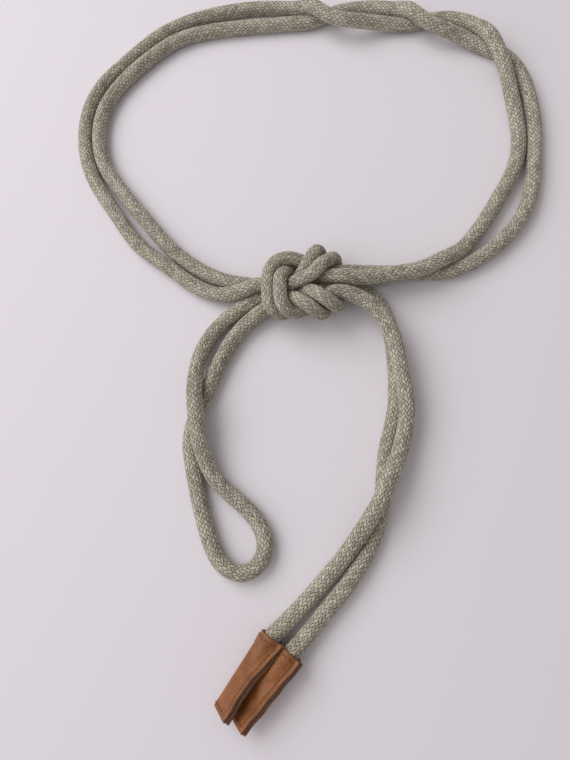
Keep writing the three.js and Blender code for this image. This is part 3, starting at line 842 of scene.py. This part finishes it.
def braid_cells():
    """Where a point lies in the braid: a colour value for its stitch, the stitch's crown, the
    run of its fibres, the line between its plies, and the painted shade in the holes where stitches
    meet."""
    group = bpy.data.node_groups.new("braid_cells", "ShaderNodeTree")
    group.interface.new_socket("Braid", in_out="INPUT", socket_type="NodeSocketVector")
    for name in ("Yarn", "Crown", "Fibres", "Plies", "Hole shade"):
        group.interface.new_socket(name, in_out="OUTPUT", socket_type="NodeSocketFloat")
    given = group.nodes.new("NodeGroupInput").outputs["Braid"]
    out = group.nodes.new("NodeGroupOutput")
    parts = node(group, "ShaderNodeSeparateXYZ", i0=given).outputs
    column = maths(group, "FLOOR", parts[1])
    across = maths(group, "FRACT", parts[1])
    odd = maths(group, "MODULO", column, 2.0)
    lean = maths(group, "MULTIPLY_ADD", odd, -2.0 * STITCH_RISE, STITCH_RISE)
    slant = maths(group, "MULTIPLY", lean, maths(group, "SUBTRACT", across, 0.5))
    phase = maths(group, "SUBTRACT", parts[0], slant)
    phase = maths(group, "MULTIPLY_ADD", odd, COLUMN_SHIFT, phase)
    phase = maths(group, "ADD", phase, RELIEF_PHASE)
    inside = maths(group, "FRACT", phase)
    cell = node(group, "ShaderNodeCombineXYZ", i0=maths(group, "FLOOR", phase), i1=column)
    yarn = node(group, "ShaderNodeTexWhiteNoise", set_noise_dimensions="2D", Vector=cell.outputs[0])
    along_crown = maths(group, "SINE", maths(group, "MULTIPLY", inside, math.pi))
    across_crown = maths(group, "SINE", maths(group, "MULTIPLY", across, math.pi))
    along_crown = maths(group, "POWER", maths(group, "MAXIMUM", along_crown, 0.0), SHADE_BLUNTNESS)
    edge = maths(group, "SUBTRACT", 1.0, across_crown)
    across_crown = maths(group, "MULTIPLY_ADD", across_crown, SHADE_IN_MIDDLE, SHADE_AT_SIDES)
    crown = maths(group, "MULTIPLY", along_crown, across_crown)
    # Painted shade in the holes where stitches meet: at a stitch's ends, more at its corners, and
    # along its sides
    hole_shade = maths(group, "MULTIPLY_ADD", edge, HOLE_SHADE_AT_CORNERS, HOLE_SHADE_AT_ENDS)
    hole_shade = maths(group, "MULTIPLY", maths(group, "SUBTRACT", 1.0, along_crown), hole_shade)
    hole_shade = maths(group, "MULTIPLY_ADD", edge, HOLE_SHADE_AT_SIDES, hole_shade)
    run = node(
        group,
        "ShaderNodeCombineXYZ",
        i0=maths(group, "MULTIPLY", phase, FIBRE_RUN[0]),
        i1=maths(group, "MULTIPLY", across, FIBRE_RUN[1]),
        i2=maths(group, "MULTIPLY", column, FIBRE_RUN[2]),
    )
    fibres = node(group, "ShaderNodeTexNoise", Vector=run.outputs[0], Scale=1.0, Detail=2.0)
    plies = maths(group, "SINE", maths(group, "MULTIPLY", inside, 2 * math.pi))
    plies = maths(group, "POWER", maths(group, "ABSOLUTE", plies), PLY_SHARPNESS)
    for name, value in zip(
        ("Yarn", "Crown", "Fibres", "Plies", "Hole shade"),
        (yarn.outputs[0], crown, fibres.outputs[0], plies, hole_shade),
    ):
        group.links.new(value, out.inputs[name])
    return group


def braided_cotton():
    """The rope: a tone for each stitch, with fibres, flecks and patches; painted shade where stitches
    meet and between plies.
    """
    paint, tree, shader = new_material("braided_cotton")
    braid = node(tree, "ShaderNodeUVMap", set_uv_map="braid").outputs[0]
    cells = tree.nodes.new("ShaderNodeGroup")
    cells.node_tree = braid_cells()
    tree.links.new(braid, cells.inputs["Braid"])
    yarn, crown, fibres, plies, hole_shade = cells.outputs
    place = node(tree, "ShaderNodeTexCoord").outputs["Object"]
    flecks = node(tree, "ShaderNodeTexNoise", Vector=place, Scale=1500.0, Detail=2.0, Roughness=0.7)
    patches = node(tree, "ShaderNodeTexNoise", Vector=place, Scale=60.0, Detail=2.0)
    tone = maths(tree, "MULTIPLY", yarn, COTTON_SHARES["yarn"])
    tone = maths(tree, "MULTIPLY_ADD", fibres, COTTON_SHARES["fibres"], tone)
    tone = maths(tree, "MULTIPLY_ADD", flecks.outputs[0], COTTON_SHARES["flecks"], tone)
    tone = maths(tree, "MULTIPLY_ADD", patches.outputs[0], COTTON_SHARES["patches"], tone)
    tone = maths(tree, "SUBTRACT", tone, COTTON_SHARES["less"])
    cotton = tone_ramp(tree, tone, COTTON_TONES)
    # Painted shade in the crease between two plies
    ply_line_shade = maths(tree, "MULTIPLY", maths(tree, "SUBTRACT", 1.0, plies), PLY_LINE_SHADE)
    # Painted shade: the darkness of the holes and of the creases between plies, mixed towards the
    # shade colour
    painted_gap_shade = maths(tree, "MINIMUM", maths(tree, "ADD", hole_shade, ply_line_shade), DARKEST_GAP_SHADE)
    colour = mix_colour(tree, painted_gap_shade, cotton, COTTON_GAP_SHADE)
    tree.links.new(colour, shader.inputs["Base Color"])
    height = maths(tree, "MULTIPLY_ADD", fibres, 0.5, maths(tree, "MULTIPLY", crown, 0.6))
    height = maths(tree, "MULTIPLY_ADD", plies, 0.25, height)
    bump = node(tree, "ShaderNodeBump", Strength=0.6, Distance=0.0003, Height=height)
    tree.links.new(bump.outputs[0], shader.inputs["Normal"])
    shader.inputs["Roughness"].default_value = 0.92
    shader.inputs["Sheen Weight"].default_value = 0.2
    shader.inputs["Sheen Roughness"].default_value = 0.5
    shader.inputs["Specular IOR Level"].default_value = 0.2
    return paint


def tan_leather():
    """The leather's outer side, cloudy and finely grained."""
    paint, tree, shader = new_material("tan_leather")
    place = node(tree, "ShaderNodeTexCoord").outputs["Object"]
    pores = node(tree, "ShaderNodeTexVoronoi", Vector=place, Scale=1900.0)
    grain = node(tree, "ShaderNodeTexNoise", Vector=place, Scale=900.0, Detail=4.0, Roughness=0.65)
    cloud = node(tree, "ShaderNodeTexNoise", Vector=place, Scale=130.0, Detail=3.0, Roughness=0.6)
    tone = maths(tree, "MULTIPLY", cloud.outputs[0], 0.75)
    tone = maths(tree, "MULTIPLY_ADD", grain.outputs[0], 0.35, tone)
    tree.links.new(tone_ramp(tree, tone, LEATHER_TONES), shader.inputs["Base Color"])
    height = maths(tree, "MULTIPLY_ADD", pores.outputs[0], 0.6, grain.outputs[0])
    bump = node(tree, "ShaderNodeBump", Strength=0.25, Distance=0.0002, Height=height)
    tree.links.new(bump.outputs[0], shader.inputs["Normal"])
    rough = maths(tree, "MULTIPLY_ADD", cloud.outputs[0], 0.3, 0.35)
    tree.links.new(rough, shader.inputs["Roughness"])
    shader.inputs["Specular IOR Level"].default_value = 0.4
    return paint


def raw_leather_edge():
    """The leather's cut edges, dark and fibrous."""
    paint, tree, shader = new_material("raw_leather_edge")
    place = node(tree, "ShaderNodeTexCoord").outputs["Object"]
    fibres = node(tree, "ShaderNodeTexNoise", Vector=place, Scale=1300.0, Detail=4.0, Roughness=0.75)
    colour = tone_ramp(tree, fibres.outputs[0], RAW_EDGE_TONES)
    tree.links.new(colour, shader.inputs["Base Color"])
    bump = node(tree, "ShaderNodeBump", Strength=0.6, Distance=0.0003, Height=fibres.outputs[0])
    tree.links.new(bump.outputs[0], shader.inputs["Normal"])
    shader.inputs["Roughness"].default_value = 0.85
    return paint


def waxed_thread():
    """The thread of the leather's seams."""
    paint, tree, shader = new_material("waxed_thread")
    place = node(tree, "ShaderNodeTexCoord").outputs["Object"]
    twist = node(tree, "ShaderNodeTexWave", Vector=place, Scale=900.0, Distortion=2.0)
    colour = mix_colour(tree, twist.outputs[1], *THREAD_COLOURS)
    tree.links.new(colour, shader.inputs["Base Color"])
    shader.inputs["Roughness"].default_value = 0.6
    return paint


# The pieces


def braid_lengths(offset):
    """The visible lengths of the rope, each one a cord."""
    beads, diameters, starts = lay_route()
    beads = settle(beads, diameters) + np.array(offset)
    paint = braided_cotton()
    middle, skin, run, bead_share = braid_rope(beads, diameters)
    names = [name for name, _, _ in STRETCHES]
    for name, covered in ROPE_LENGTHS:
        first = np.searchsorted(bead_share, starts[names.index(covered[0])])
        last = np.searchsorted(bead_share, starts[names.index(covered[-1]) + 1])
        part = slice(first, min(last + 1, len(middle)))
        piece = rope_length(name, skin[part], run[part], paint)
        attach(piece, "root")
        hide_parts(*("rope_" + stretch for stretch in covered))


def fold_leathers(offset):
    """The two leather ends, each a sleeve and its stitches."""
    hide, raw, thread = tan_leather(), raw_leather_edge(), waxed_thread()
    for name, end in (("first", FIRST_END), ("second", SECOND_END)):
        skin = leather_skin(end, offset, EDGE_SEEDS[name])
        sunk = skin - skin_normals(skin) * groove_depths(*skin.shape[:2])[:, :, None]
        sleeve = leather_sleeve("leather_sleeve_" + name, sunk, (hide, raw))
        seam = stitching("leather_stitches_" + name, sunk, thread)
        for piece in (sleeve, seam):
            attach(piece, "root")
        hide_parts("leather_end_" + name)


def main():
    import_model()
    offset = Vector((*BELT_OFFSET, 0))
    look_from_photograph(offset)
    braid_lengths(offset)
    fold_leathers(offset)
    lay_floor()
    light_studio()


main()
